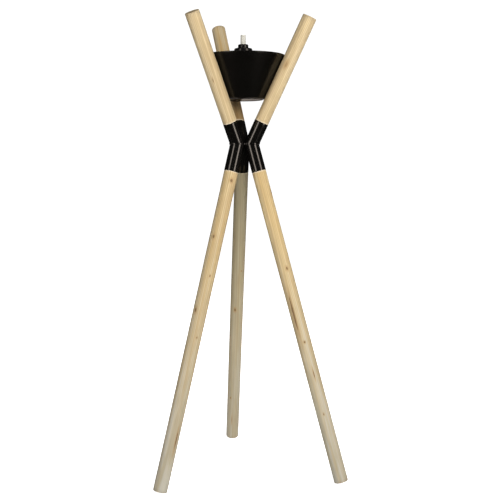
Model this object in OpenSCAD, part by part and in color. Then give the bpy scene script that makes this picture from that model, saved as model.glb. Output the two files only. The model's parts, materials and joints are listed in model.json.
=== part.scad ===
// Garden torch on a tripod: three wooden legs and three wooden arms are screwed into
// a welded steel hub, and a conical oil bowl with a wick burner nests between the arms.
// Millimetres, +Z up. The origin is on the ground, on the vertical axis of the hub.

/* [Poles] */
// Diameter of the turned wooden poles
pole_d = 35; // [32:0.5:38]
// Length of a leg, from the knee of the hub to the middle of its foot
leg_reach = 863; // [780:1:940]
// Length of an arm, from the knee of the hub to the middle of its top end
arm_reach = 333.5; // [300:0.5:360]
// Angle of the legs from the vertical
leg_splay = 15.8; // [14:0.1:18]
// Angle of the arms from the vertical
arm_splay = 25.6; // [24:0.1:27]
// Bevel on the rim of the poles' free ends
pole_bevel = 1.2; // [0.4:0.1:2.5]
// Depth of the small flat worn on each foot where it meets the ground
foot_wear = 1; // [0.5:0.1:2]

/* [Hub] */
// Outer diameter of the socket tubes
tube_d = 35.5; // [34:0.1:40]
// Wall of the socket tubes
tube_wall = 1.8; // [1.2:0.1:2.2]
// Length of a leg socket from the knee
leg_socket = 70.5; // [62:0.5:80]
// Length of an arm socket from the knee
arm_socket = 58.5; // [52:0.5:66]
// Thickness of the plate that the sockets are welded to
plate_t = 3; // [2:0.5:4]
// Distance from the axis to the flat edges of the plate, between the sockets
plate_web = 22.4; // [18:0.2:26]
// Turn of the knees about the axis, from the nominal directions of the legs
knee_turn = 2.5; // [0:0.5:5]

/* [Bowl] */
// Height of the bowl's lowest edge above the ground
bowl_z = 941; // [935:1:955]
// Height of the bowl
bowl_h = 108; // [100:1:112]
// Sheet thickness of the bowl
bowl_wall = 1.2; // [0.8:0.1:1.6]
// Radius of the rounded lower corner
bowl_corner = 6; // [3:0.5:9]
// Height of the folded seam that hangs below the base
seam_h = 1.4; // [1:0.1:3]
// Free space between the bowl and the arms
nest_gap = 0.5; // [0.3:0.1:2]
// Depth of the lid below the rim
lid_drop = 8; // [6:0.5:12]

/* [Burner] */
// Radius of the screw cap
cap_r = 22.2; // [21:0.1:25]
// Height of the cap's top above the bowl's rim
cap_rise = 17; // [12:0.5:18]
// Height of the screw cap
cap_h = 16; // [14:0.5:18]
// Radius of the collar around the wick
collar_r = 12.7; // [11:0.1:14]
// Height of the collar
collar_h = 9.3; // [8:0.1:16]
// Radius of the wick
wick_r = 6.5; // [5:0.1:7]
// Length of wick that shows above the collar
wick_show = 22.5; // [10:0.5:35]
// Whole length of the wick
wick_len = 130; // [110:1:135]

/* [Hidden] */
$fn = 96;

// Running clearance between pieces that fit into each other
fit = 0.05;
// Clear space between bodies that move past each other
clear = 0.3;

// Nominal directions of the three legs: left, right, back
nominal = [210, 330, 90];
// Small errors of the welds, which turn each leg socket a little
leg_turn = [-1.5, 0, 1.5];
// The arm sockets are welded on with a twist, a different one for each
arm_turn = [8, 10.5, 18];

// The knees stand so that neighbouring tubes just meet
knee_r = tube_d / sqrt(3) + 0.1;
tube_bore = tube_d - 2 * tube_wall;
tenon_d = tube_bore - 2 * fit;
// The worn flat takes foot_wear off the lowest edge of the foot
hub_z = leg_reach * cos(leg_splay) + pole_d / 2 * sin(leg_splay) - foot_wear;

// Hanger bolts and the threaded plugs that hold the poles
bolt_r = 4;
plug_t = 8;
leg_tenon = 40;
arm_tenon = 34;
bolt_in_wood = 32;

wood = [0.86, 0.76, 0.58];
black_paint = [0.06, 0.055, 0.05];
zinc = [0.62, 0.63, 0.66];
cork = [0.55, 0.42, 0.28];
glass_fibre = [0.86, 0.85, 0.8];

function polar(r, a) = [r * cos(a), r * sin(a)];
function knee(i) = [each polar(knee_r, nominal[i] + knee_turn), hub_z];

// Draws along a leg: local +Z runs down the leg from its knee, and the piece is
// turned about its own axis so that no seam lies in the worn flat
module along_leg(i) {
    translate(knee(i))
        rotate([0, 180 - leg_splay, nominal[i] + leg_turn[i]])
            rotate(100)
                children();
}

// Draws along an arm: local +Z runs up the arm from its knee
module along_arm(i) {
    translate(knee(i))
        rotate([0, arm_splay, nominal[i] + arm_turn[i]])
            rotate(15)
                children();
}

// A turned pole with a tenon that enters the socket, a bevelled free end and a bolt hole
module pole(socket, tenon, reach) {
    r = pole_d / 2;
    shoulder = 0.8;
    difference() {
        rotate_extrude()
            polygon([
                [0, socket - tenon],
                [tenon_d / 2 - 1, socket - tenon],
                [tenon_d / 2, socket - tenon + 1],
                [tenon_d / 2, socket],
                [r - shoulder, socket],
                [r, socket + shoulder],
                [r, reach - pole_bevel],
                [r - pole_bevel, reach],
                [0, reach]
            ]);
        translate([0, 0, socket - tenon - 1])
            cylinder(r = bolt_r + fit, h = bolt_in_wood + 2);
    }
}

module leg(i) {
    color(wood)
        difference() {
            along_leg(i)
                pole(leg_socket, leg_tenon, leg_reach);
            translate([0, 0, -50])
                cube([900, 900, 100], center = true);
        }
}

module arm(i) {
    color(wood)
        along_arm(i)
            pole(arm_socket, arm_tenon, arm_reach);
}

// The third of the hub that belongs to one knee, so that tubes are ground flat where they meet
module knee_sector(i, z_low, z_high) {
    reach = 120;
    edge = 0.05;
    turn = nominal[i] + knee_turn;
    translate([edge * cos(turn), edge * sin(turn), z_low])
        linear_extrude(z_high - z_low)
            polygon([
                [0, 0],
                polar(reach, turn - 60),
                polar(2 * reach, turn),
                polar(reach, turn + 60)
            ]);
}

module tube(length) {
    translate([0, 0, -25])
        difference() {
            cylinder(d = tube_d, h = length + 25);
            translate([0, 0, -1])
                cylinder(d = tube_bore, h = length + 27);
        }
}

module leg_socket_tube(i) {
    color(black_paint)
        intersection() {
            along_leg(i)
                tube(leg_socket);
            knee_sector(i, hub_z - 120, hub_z - plate_t / 2);
        }
}

module arm_socket_tube(i) {
    color(black_paint)
        intersection() {
            along_arm(i)
                tube(arm_socket);
            knee_sector(i, hub_z + plate_t / 2, hub_z + 120);
        }
}

// The plate in the middle of the hub: a round lobe under each knee, and a flat edge in
// each notch between two sockets, which cuts a lobe at the angle lobe_end
lobe_r = tube_d / 2 / cos(arm_splay) + 0.2;
lobe_x = knee_r + plate_t / 2 * tan(arm_splay);
lobe_end = 60 + acos((plate_web - lobe_x / 2) / lobe_r);
module hub_plate() {
    steps = 36;
    color(black_paint)
        translate([0, 0, hub_z - plate_t / 2])
            linear_extrude(plate_t)
                polygon([
                    for (i = [2, 0, 1], k = [0 : steps])
                        polar(lobe_x, nominal[i] + knee_turn)
                        + polar(lobe_r, nominal[i] + knee_turn + lobe_end * (2 * k / steps - 1))
                ]);
}

// A threaded plug welded across a socket tube
module plug(socket, tenon) {
    translate([0, 0, socket - tenon - 2 - plug_t])
        difference() {
            cylinder(d = tube_bore - 2 * fit, h = plug_t);
            translate([0, 0, -1])
                cylinder(r = bolt_r + fit, h = plug_t + 2);
        }
}

// A hanger bolt: machine thread in the plug, wood thread in the pole
module hanger_bolt(socket, tenon) {
    low = socket - tenon - 2 - plug_t - 1;
    high = socket - tenon + bolt_in_wood - 1;
    rotate_extrude()
        polygon([
            [0, low],
            [bolt_r - 1, low],
            [bolt_r, low + 1],
            [bolt_r, high - 6],
            [1, high],
            [0, high]
        ]);
}

module leg_nuts() {
    color(zinc)
        for (i = [0 : 2])
            along_leg(i)
                plug(leg_socket, leg_tenon);
}

module arm_nuts() {
    color(zinc)
        for (i = [0 : 2])
            along_arm(i)
                plug(arm_socket, arm_tenon);
}

module leg_bolts() {
    color(zinc)
        for (i = [0 : 2])
            along_leg(i)
                hanger_bolt(leg_socket, leg_tenon);
}

module arm_bolts() {
    color(zinc)
        for (i = [0 : 2])
            along_arm(i)
                hanger_bolt(arm_socket, arm_tenon);
}

// Outer radius of the bowl at a height: its wall runs parallel to the arms
function bowl_r(z) =
    knee_r * cos(max(arm_turn) - knee_turn) + (z - hub_z) * tan(arm_splay)
    - (pole_d / 2 + nest_gap) / cos(arm_splay);

rim_z = bowl_z + bowl_h;
floor_z = bowl_z + seam_h;
rim_r = bowl_r(rim_z);
wall_across = bowl_wall / cos(arm_splay);
// Centre of the rounded lower corner, which is tangent to the wall and to the floor
corner_x = bowl_r(floor_z) - bowl_corner * tan((90 - arm_splay) / 2);
corner_z = floor_z + bowl_corner;
flange_r = corner_x - 0.2;
function corner_arc(r) = [
    for (s = [0 : 8])
        [corner_x + r * cos(-90 + s * (90 - arm_splay) / 8),
         corner_z + r * sin(-90 + s * (90 - arm_splay) / 8)]
];
function backwards(list) = [for (k = [len(list) - 1 : -1 : 0]) list[k]];

// The spun cone: hemmed rim, rounded lower corner and a narrow flange for the base
module bowl_shell() {
    hem = 1.8;
    color(black_paint)
        rotate_extrude($fn = 160) {
            polygon(concat(
                [[flange_r, floor_z]],
                corner_arc(bowl_corner),
                [[rim_r - hem * tan(arm_splay), rim_z - hem],
                 [rim_r - hem * tan(arm_splay) - wall_across, rim_z - hem]],
                backwards(corner_arc(bowl_corner - bowl_wall)),
                [[flange_r, floor_z + bowl_wall]]
            ));
            translate([rim_r - hem * (tan(arm_splay) + 1 / cos(arm_splay)), rim_z - hem])
                circle(r = hem, $fn = 32);
        }
}

// The base disc, with the folded seam that hangs below the flange
module bowl_base() {
    seam_t = 2;
    color(black_paint)
        rotate_extrude($fn = 160)
            polygon([
                [0, floor_z],
                [flange_r - seam_t, floor_z],
                [flange_r - seam_t, bowl_z + 0.4],
                [flange_r - seam_t + 0.4, bowl_z],
                [flange_r - 0.45, bowl_z],
                [flange_r - 0.05, bowl_z + 0.4],
                [flange_r - 0.05, floor_z + bowl_wall],
                [0, floor_z + bowl_wall]
            ]);
}

lid_z = rim_z - lid_drop;
lid_t = 1.2;
neck_r = 18.4;
neck_wall = 2;
neck_top = rim_z + cap_rise - 5;

// The lid, pressed into the bowl below its rim, with a stiffening ring
module bowl_lid() {
    edge_r = bowl_r(lid_z - lid_t) - wall_across - 0.1;
    lip = 4;
    swage_r = 62;
    color(black_paint)
        rotate_extrude($fn = 160)
            polygon([
                [neck_r + fit, lid_z - lid_t],
                [edge_r, lid_z - lid_t],
                [edge_r + (lip + lid_t) * tan(arm_splay), lid_z + lip],
                [edge_r + (lip + lid_t) * tan(arm_splay) - lid_t, lid_z + lip],
                [edge_r - lid_t, lid_z],
                [swage_r + 4, lid_z],
                [swage_r + 2, lid_z + 1.5],
                [swage_r - 2, lid_z + 1.5],
                [swage_r - 4, lid_z],
                [neck_r + fit, lid_z]
            ]);
}

// The neck that the burner screws onto; only the crests of its thread are drawn
module filler_neck() {
    crest = 0.6;
    color(black_paint)
        rotate_extrude() {
            translate([neck_r - neck_wall, lid_z - lid_t - 2])
                square([neck_wall, neck_top - lid_z + lid_t + 2]);
            translate([neck_r - neck_wall, lid_z - lid_t - 2])
                square([neck_wall + 5, 2]);
            for (k = [0 : 2])
                translate([neck_r - 0.1, neck_top - 4 - 3 * k])
                    polygon([[0, -1], [crest + 0.1, -0.3], [crest + 0.1, 0.3], [0, 1]]);
        }
}

tube_r = wick_r + 2.4;
gasket_t = 2;
cap_top = rim_z + cap_rise;

// A loose washer, held captive on the wick tube by the bead at the tube's lower end
module cap_gasket() {
    color(cork)
        translate([0, 0, neck_top])
            difference() {
                cylinder(r = neck_r, h = gasket_t);
                translate([0, 0, -1])
                    cylinder(r = tube_r + clear, h = gasket_t + 2);
            }
}

// The tube that holds the wick, with the turned collar on top of the cap
module wick_tube() {
    bore = wick_r + 0.4;
    tail_z = neck_top - 58;
    bevel = 2;
    color(black_paint)
        rotate_extrude()
            polygon([
                [bore, tail_z],
                [tube_r + 1, tail_z],
                [tube_r + 1, tail_z + 2],
                [tube_r, tail_z + 3],
                [tube_r, cap_top + fit],
                [collar_r, cap_top + fit],
                [collar_r, cap_top + collar_h - bevel],
                [collar_r - bevel, cap_top + collar_h],
                [bore, cap_top + collar_h]
            ]);
}

// The screw cap, with a rounded shoulder and a hole that turns on the wick tube
module burner_cap() {
    shoulder = 3.5;
    cap_wall = cap_r - neck_r - 0.6 - clear;
    top_t = cap_top - neck_top - gasket_t - fit;
    color(black_paint)
        rotate_extrude()
            polygon(concat(
                [[tube_r + fit, cap_top - top_t]],
                [[cap_r - cap_wall, cap_top - top_t]],
                [[cap_r - cap_wall, cap_top - cap_h]],
                [[cap_r - 0.5, cap_top - cap_h]],
                [[cap_r, cap_top - cap_h + 0.5]],
                [for (s = [0 : 6])
                    [cap_r - shoulder + shoulder * cos(15 * s),
                     cap_top - shoulder + shoulder * sin(15 * s)]],
                [[tube_r + fit, cap_top]]
            ));
}

// The glass fibre wick, from above the bowl's floor to its lighted end
module wick() {
    tip_z = cap_top + collar_h + wick_show;
    color(glass_fibre)
        rotate_extrude()
            polygon([
                [0, tip_z - wick_len],
                [wick_r, tip_z - wick_len],
                [wick_r, tip_z - 0.8],
                [wick_r - 0.8, tip_z],
                [0, tip_z]
            ]);
}

leg(0);  // leg_left
leg(1);  // leg_right
leg(2);  // leg_back
arm(0);  // arm_left
arm(1);  // arm_right
arm(2);  // arm_back
leg_socket_tube(0);  // leg_socket_left
leg_socket_tube(1);  // leg_socket_right
leg_socket_tube(2);  // leg_socket_back
arm_socket_tube(0);  // arm_socket_left
arm_socket_tube(1);  // arm_socket_right
arm_socket_tube(2);  // arm_socket_back
hub_plate();
leg_nuts();
arm_nuts();
leg_bolts();
arm_bolts();
bowl_shell();
bowl_base();
bowl_lid();
filler_neck();
cap_gasket();
wick_tube();
burner_cap();
wick();
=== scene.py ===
# %% [markdown]
# # A tripod garden torch
# Three turned wooden legs and three arms are screwed into a black steel hub. A conical oil
# bowl nests between the arms, and a small burner holds a braided glass fibre wick.
# The frame comes from the CAD model. This file gives each piece its finished mesh and its
# finish, and never moves what the frame says.

# %% Load the frame
import json
import math
import random

import bmesh
import bpy
from mathutils import Matrix, Vector, noise

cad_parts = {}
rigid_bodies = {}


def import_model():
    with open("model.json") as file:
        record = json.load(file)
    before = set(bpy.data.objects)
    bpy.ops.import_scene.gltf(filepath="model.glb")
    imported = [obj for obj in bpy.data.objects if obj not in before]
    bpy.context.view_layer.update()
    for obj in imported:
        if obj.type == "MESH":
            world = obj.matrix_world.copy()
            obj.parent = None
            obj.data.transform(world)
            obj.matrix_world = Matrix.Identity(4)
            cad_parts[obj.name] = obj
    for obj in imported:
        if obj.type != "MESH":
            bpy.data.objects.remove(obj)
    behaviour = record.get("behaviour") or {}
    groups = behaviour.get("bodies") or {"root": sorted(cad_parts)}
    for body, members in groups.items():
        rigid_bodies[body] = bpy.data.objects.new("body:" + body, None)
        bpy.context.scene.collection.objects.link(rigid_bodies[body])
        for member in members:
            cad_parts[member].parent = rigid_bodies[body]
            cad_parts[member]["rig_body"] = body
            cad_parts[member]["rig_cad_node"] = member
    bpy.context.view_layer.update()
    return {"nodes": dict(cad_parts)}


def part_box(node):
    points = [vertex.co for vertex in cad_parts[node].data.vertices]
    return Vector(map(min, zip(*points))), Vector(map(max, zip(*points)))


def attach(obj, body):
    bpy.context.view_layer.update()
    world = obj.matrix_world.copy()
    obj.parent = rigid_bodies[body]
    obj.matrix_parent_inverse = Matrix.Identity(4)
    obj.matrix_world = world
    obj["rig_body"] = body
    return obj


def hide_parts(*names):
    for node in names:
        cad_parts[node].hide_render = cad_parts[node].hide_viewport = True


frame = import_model()
MM = 0.001
SIDES = ("left", "right", "back")

# %% [markdown]
# ## The driving dimensions
# The hub is welded by hand, so the sockets don't stand exactly a third of a turn apart. The
# numbers are the ones that the CAD model is drawn from, in millimetres and degrees, and the
# cells below check the finished pieces against the frame's own boxes.

# %% Dimensions of the stand
pole_r = 17.5 * MM
tube_r = 17.75 * MM
tube_bore = 15.95 * MM
tenon_r = 15.9 * MM
leg_splay, arm_splay = math.radians(15.8), math.radians(25.6)
leg_reach, arm_reach = 863 * MM, 333.5 * MM
leg_socket, arm_socket = 70.5 * MM, 58.5 * MM
leg_tenon, arm_tenon = 40 * MM, 34 * MM
plate_t = 3 * MM
foot_wear = 1 * MM
nominal = {"left": 210, "right": 330, "back": 90}
knee_turn = 2.5
leg_turn = {"left": -1.5, "right": 0, "back": 1.5}
arm_turn = {"left": 8, "right": 10.5, "back": 18}

knee_out = 2 * tube_r / math.sqrt(3) + 0.1 * MM
hub_z = leg_reach * math.cos(leg_splay) + pole_r * math.sin(leg_splay) - foot_wear


def around(angle_deg, radius, z=0.0):
    """The point at an angle and a distance from the torch's axis."""
    a = math.radians(angle_deg)
    return Vector((radius * math.cos(a), radius * math.sin(a), z))


def limb_frame(kind, side):
    """The place of a leg or an arm: +Z runs along it, from the knee of the hub outwards."""
    knee = Matrix.Translation(around(nominal[side] + knee_turn, knee_out, hub_z))
    turn = leg_turn[side] if kind == "leg" else arm_turn[side]
    tilt = math.pi - leg_splay if kind == "leg" else arm_splay
    spin = Matrix.Rotation(math.radians(nominal[side] + turn), 4, "Z")
    return knee @ spin @ Matrix.Rotation(tilt, 4, "Y")


print("the knees are", round(hub_z, 4), "m above the ground")

# %% [markdown]
# ## The camera
# The torch is seen from a little below the bowl and well above the feet, from about two
# metres away, with a short telephoto lens. The camera stands a few degrees to one side of
# the line through the back leg.

# %% Camera
camera_away, camera_height = 2.0748, 0.8001
camera_side = math.radians(-7.13)
look_yaw, look_pitch, look_roll = (math.radians(a) for a in (-0.61, -6.34, -0.29))
lens_mm, side_shift = 59.8, -0.0065


def camera_matrix():
    """Looks along +Y with a small yaw, pitch and roll, then swings round the torch."""
    forward = Vector((
        -math.sin(look_yaw) * math.cos(look_pitch),
        math.cos(look_yaw) * math.cos(look_pitch),
        math.sin(look_pitch),
    ))
    right = Vector((math.cos(look_yaw), math.sin(look_yaw), 0))
    up = right.cross(forward)
    x_axis = math.cos(look_roll) * right + math.sin(look_roll) * up
    y_axis = -math.sin(look_roll) * right + math.cos(look_roll) * up
    turn = Matrix((x_axis, y_axis, -forward)).transposed().to_4x4()
    place = Matrix.Translation((0, -camera_away, camera_height))
    return Matrix.Rotation(camera_side, 4, "Z") @ place @ turn


camera_data = bpy.data.cameras.new("camera")
camera_data.lens = lens_mm
camera_data.sensor_width = 36
camera_data.shift_x = side_shift
camera = bpy.data.objects.new("camera", camera_data)
camera.matrix_world = camera_matrix()
bpy.context.scene.collection.objects.link(camera)
bpy.context.scene.camera = camera
print("the camera stands at", [round(v, 3) for v in camera.matrix_world.translation])

# %% [markdown]
# ## Small tools for meshes
# Most pieces here are round, so two helpers do most of the work. One spins a closed outline
# around the axis, as a lathe or a spinning chuck does. The other joins rings of points into
# a skin. A number kept on every point runs from 0 on a protected face to 1 on an edge that
# hands and weather reach, and the finishes read it as wear. On the wick the same number is
# painted shade instead: high in the gaps between the strands and in the hollow cut end.

# %% Mesh helpers


def finish_mesh(name, points, faces, wear_and_shade, sharp=40):
    """Makes an object from points and faces, with outward normals and smooth shading."""
    mesh = bpy.data.meshes.new(name)
    mesh.from_pydata([tuple(p) for p in points], [], faces)
    layer = mesh.attributes.new("wear_and_shade", "FLOAT", "POINT")
    layer.data.foreach_set("value", wear_and_shade)
    shape = bmesh.new()
    shape.from_mesh(mesh)
    bmesh.ops.recalc_face_normals(shape, faces=shape.faces)
    shape.to_mesh(mesh)
    shape.free()
    mesh.shade_smooth()
    mesh.set_sharp_from_angle(angle=math.radians(sharp))
    piece = bpy.data.objects.new(name, mesh)
    bpy.context.scene.collection.objects.link(piece)
    return piece


def skin(rings, loop_rings=False):
    """Faces between rings of equal length; the rings close on themselves, or have end caps."""
    count, n = len(rings), len(rings[0])
    points = [p for ring in rings for p in ring]
    faces = []
    for i in range(count if loop_rings else count - 1):
        j = (i + 1) % count
        for k in range(n):
            m = (k + 1) % n
            faces.append((i * n + k, i * n + m, j * n + m, j * n + k))
    if not loop_rings:
        faces.append(tuple(range(n)))
        faces.append(tuple((count - 1) * n + k for k in reversed(range(n))))
    return points, faces


def spin_outline(name, outline, steps=160, sharp=40):
    """Spins a closed outline of (radius, height, wear) around the torch's axis."""
    rings = []
    for k in range(steps):
        a = math.tau * k / steps
        rings.append([Vector((r * math.cos(a), r * math.sin(a), z)) for r, z, _ in outline])
    points, faces = skin(rings, loop_rings=True)
    return finish_mesh(name, points, faces, [w for _, _, w in outline] * steps, sharp)


def arc(cx, cz, r, start, end, steps=6, wear_and_shade=0.0):
    """Points of an outline along a circle, from one angle to another, in degrees."""
    turn = [math.radians(start + (end - start) * k / steps) for k in range(steps + 1)]
    return [(cx + r * math.cos(a), cz + r * math.sin(a), wear_and_shade) for a in turn]


def smooth_between(value, low, high):
    """0 below low, 1 above high, and smooth between them."""
    t = min(1.0, max(0.0, (value - low) / (high - low)))
    return t * t * (3 - 2 * t)


print("a quarter arc has", len(arc(0, 0, 1, 0, 90)), "points")

# %% [markdown]
# ## Handing a piece over
# A finished piece has to ride on the body that the CAD model gave it, and the CAD node that
# it stands for is hidden. It could be measured by eye, but a printed distance between the two
# boxes shows at once when a dimension here has drifted from the design.

# %% Hand-over helpers


def check_box(piece, node):
    """Prints how far a finished piece's box is from its CAD node's box."""
    bpy.context.view_layer.update()
    world = [piece.matrix_world @ v.co for v in piece.data.vertices]
    low = Vector([min(p[i] for p in world) for i in range(3)])
    high = Vector([max(p[i] for p in world) for i in range(3)])
    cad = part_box(node)
    off = max((low - cad[0]).length, (high - cad[1]).length) / MM
    print(f"{piece.name}: {len(piece.data.vertices)} points, {off:.2f} mm off the CAD box")


def fit_out(piece, node, body, finish):
    """Gives a piece its finish, puts it on its body, hides the CAD node that it stands for and
    prints how far it is from that node's box.
    """
    piece.data.materials.append(finish)
    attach(piece, body)
    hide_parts(node)
    check_box(piece, node)


# %% [markdown]
# ## Small tools for materials
# A finish is a network of nodes. These helpers place a node and fill its sockets by name,
# so that each network below reads like a recipe. Effects that several finishes share are
# node groups with named inputs and outputs.

# %% Node helpers


def put(tree, kind, fill=None, **settings):
    """Adds a node; fill gives its input sockets values or links, by name or number."""
    node = tree.nodes.new(kind)
    for key, value in settings.items():
        setattr(node, key, value)
    for key, value in (fill or {}).items():
        socket = node.inputs[key]
        if isinstance(value, bpy.types.NodeSocket):
            tree.links.new(value, socket)
        else:
            socket.default_value = value
    return node


def maths(tree, operation, *values):
    return put(tree, "ShaderNodeMath", dict(enumerate(values)), operation=operation).outputs[0]


def vectors(tree, operation, *values, out=0):
    node = put(tree, "ShaderNodeVectorMath", dict(enumerate(values)), operation=operation)
    return node.outputs[out]


def smooth_step(tree, value, low, high):
    """0 below low, 1 above high, and smooth between them. low may be above high."""
    node = put(tree, "ShaderNodeMapRange", {0: value, 1: low, 2: high, 3: 0.0, 4: 1.0})
    node.interpolation_type = "SMOOTHSTEP"
    return node.outputs[0]


def speckle(tree, point, scale, detail=3.0, roughness=0.55):
    """Cloudy noise between 0 and 1."""
    fill = {"Vector": point, "Scale": scale, "Detail": detail, "Roughness": roughness}
    return put(tree, "ShaderNodeTexNoise", fill).outputs[0]


def blend_colour(tree, amount, first, second):
    """Mixes two colours; sockets 0, 6 and 7 are the factor and the two colours."""
    fill = {0: amount, 6: first, 7: second}
    return put(tree, "ShaderNodeMix", fill, data_type="RGBA").outputs[2]


def lay(tree, colour, mask, share, over):
    """Lays a flat colour over another through a mask, at a share of its full strength."""
    return blend_colour(tree, maths(tree, "MULTIPLY", mask, share), colour, (*over, 1))


def new_group(name, inputs, outputs):
    """A node group; inputs and outputs are {socket name: (type, default)}."""
    tree = bpy.data.node_groups.new(name, "ShaderNodeTree")
    for way, sockets in (("INPUT", inputs), ("OUTPUT", outputs)):
        for label, (kind, default) in sockets.items():
            made = tree.interface.new_socket(label, in_out=way, socket_type=kind)
            if default is not None:
                made.default_value = default
    return tree, tree.nodes.new("NodeGroupInput").outputs, tree.nodes.new("NodeGroupOutput").inputs


def put_group(tree, group, fill):
    return put(tree, "ShaderNodeGroup", fill, node_tree=group).outputs


def new_material(name):
    """A material, its tree, its empty shader and the place of a point on the piece."""
    material = bpy.data.materials.new(name)
    material.use_nodes = True
    tree = material.node_tree
    tree.nodes.clear()
    shader = tree.nodes.new("ShaderNodeBsdfPrincipled")
    output = tree.nodes.new("ShaderNodeOutputMaterial")
    tree.links.new(shader.outputs[0], output.inputs["Surface"])
    place = tree.nodes.new("ShaderNodeTexCoord").outputs["Object"]
    return material, tree, shader, place


def add_bump(tree, shader, strength, depth, height):
    fill = {"Strength": strength, "Distance": depth, "Height": height}
    tree.links.new(put(tree, "ShaderNodeBump", fill).outputs[0], shader.inputs["Normal"])


FLOAT, VECTOR = "NodeSocketFloat", "NodeSocketVector"
print("node helpers are ready")

# %% [markdown]
# ## The grain of turned wood
# A tree grows in cones around its pith, so wood is a solid pattern and not a wrap. The group
# measures how far a point is from a pith line that leans slightly through the pole, counts
# growth rings from that, and bends them with slow noise. The same pattern gives long flames
# along the sides and true arcs on the sawn ends. Fine fibres and short pores run along the
# pole at their own scales.

# %% Wood grain group


def wood_grain_group():
    tree, given, result = new_group(
        "wood_grain",
        {"Point": (VECTOR, None), "Pith": (VECTOR, None), "Lean": (VECTOR, None),
         "Ring Width": (FLOAT, 0.0042), "Wander": (FLOAT, 0.004)},
        {"Rings": (FLOAT, None), "Fibres": (FLOAT, None), "Pores": (FLOAT, None),
         "Patches": (FLOAT, None), "Streaks": (FLOAT, None)},
    )
    point = given["Point"]
    slow = vectors(tree, "MULTIPLY", point, (22, 22, 2.4))
    waves = put(tree, "ShaderNodeTexNoise", {"Vector": slow, "Scale": 1.0, "Detail": 2.0})
    shift = vectors(tree, "SUBTRACT", waves.outputs["Color"], (0.5, 0.5, 0.5))
    shift = put(tree, "ShaderNodeVectorMath", {0: shift, "Scale": given["Wander"]},
                operation="SCALE").outputs[0]
    height = put(tree, "ShaderNodeSeparateXYZ", {0: point}).outputs[2]
    lean = put(tree, "ShaderNodeVectorMath", {0: given["Lean"], "Scale": height},
               operation="SCALE").outputs[0]
    bent = vectors(tree, "ADD", vectors(tree, "ADD", point, shift),
                   vectors(tree, "ADD", given["Pith"], lean))
    across = vectors(tree, "LENGTH", vectors(tree, "MULTIPLY", bent, (1, 1, 0)), out=1)
    count = maths(tree, "DIVIDE", across, given["Ring Width"])
    uneven = speckle(tree, vectors(tree, "MULTIPLY", point, (60, 60, 1.5)), 1.0, 1.0)
    phase = maths(tree, "FRACT", maths(tree, "ADD", count, maths(tree, "MULTIPLY", uneven, 1.6)))
    late = maths(tree, "MULTIPLY", smooth_step(tree, phase, 0.25, 0.86),
                 smooth_step(tree, phase, 1.0, 0.9))
    tree.links.new(late, result["Rings"])
    fine = speckle(tree, vectors(tree, "MULTIPLY", point, (1500, 1500, 22)), 1.0, 3.0, 0.65)
    tree.links.new(fine, result["Fibres"])
    dashes = speckle(tree, vectors(tree, "MULTIPLY", point, (1100, 1100, 55)), 1.0, 1.0)
    tree.links.new(smooth_step(tree, dashes, 0.66, 0.76), result["Pores"])
    cloud = speckle(tree, vectors(tree, "MULTIPLY", point, (90, 90, 7)), 1.0, 3.0)
    tree.links.new(cloud, result["Patches"])
    long = speckle(tree, vectors(tree, "MULTIPLY", point, (150, 150, 2.6)), 1.0, 4.0, 0.62)
    tree.links.new(long, result["Streaks"])
    return tree


wood_grain = wood_grain_group()
print("wood grain group:", len(wood_grain.nodes), "nodes")

# %% [markdown]
# ## Knots and marks
# A knot is the root of a branch: a dark oval with a resinous halo that fades along the
# grain. The group turns the distance from a centre into two masks. Its size is a vector, so
# that the oval can be long along the pole and narrow across it.

# %% Knot group


def knot_group():
    tree, given, result = new_group(
        "knot",
        {"Point": (VECTOR, None), "Centre": (VECTOR, None), "Size": (VECTOR, (0.004, 0.004, 0.01))},
        {"Heart": (FLOAT, None), "Halo": (FLOAT, None)},
    )
    away = vectors(tree, "SUBTRACT", given["Point"], given["Centre"])
    scaled = vectors(tree, "DIVIDE", away, given["Size"])
    far = vectors(tree, "LENGTH", scaled, out=1)
    ragged = speckle(tree, vectors(tree, "MULTIPLY", given["Point"], (420, 420, 90)), 1.0, 3.0)
    far = maths(tree, "ADD", far, maths(tree, "MULTIPLY", maths(tree, "SUBTRACT", ragged, 0.5), 0.9))
    tree.links.new(smooth_step(tree, far, 1.0, 0.45), result["Heart"])
    tree.links.new(smooth_step(tree, far, 2.3, 0.7), result["Halo"])
    return tree


knot = knot_group()
print("knot group:", len(knot.nodes), "nodes")

# %% [markdown]
# ## The wood of the legs and the arms
# The poles are bare softwood, pale straw near the hub and greyer towards the feet. One
# picture wrapped round all six would repeat itself and smear on the sawn ends. So all poles
# share one recipe in solid space, which lays the colours on in this order: growth rings,
# fibres, greying towards the end, painted shade near the hub on the back poles, soil on the
# cut end, and a pale ring beside the socket.

# %% Wood colours
straw, honey, pale = (0.60, 0.42, 0.185), (0.48, 0.32, 0.14), (0.77, 0.605, 0.335)
dull_wood, tan_wood = (0.47, 0.42, 0.30), (0.43, 0.30, 0.15)
fibre_brown, pore_brown = (0.46, 0.32, 0.17), (0.33, 0.22, 0.12)
silver_grey, olive_grey = (0.45, 0.43, 0.365), (0.37, 0.33, 0.24)
end_soil, ring_cream = (0.26, 0.21, 0.15), (0.86, 0.77, 0.62)
knot_halo, knot_heart = (0.38, 0.23, 0.09), (0.16, 0.09, 0.035)


def grain_colour(tree, grain, tone):
    """Early and late wood in the pole's tone, with cloudy patches of tan. On the back poles the tone
    is darker for painted shade.
    """
    early, late, light = (
        tuple(c * t for c, t in zip(base, tone)) for base in (straw, honey, pale)
    )
    bands = smooth_step(tree, grain["Streaks"], 0.36, 0.62)
    colour = blend_colour(tree, bands, (*early, 1), (*light, 1))
    colour = lay(tree, colour, grain["Rings"], 0.9, late)
    colour = lay(tree, colour, grain["Patches"], 0.16, dull_wood)
    clouds = smooth_step(tree, grain["Patches"], 0.48, 0.66)
    return lay(tree, colour, clouds, 0.44, tan_wood)


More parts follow.
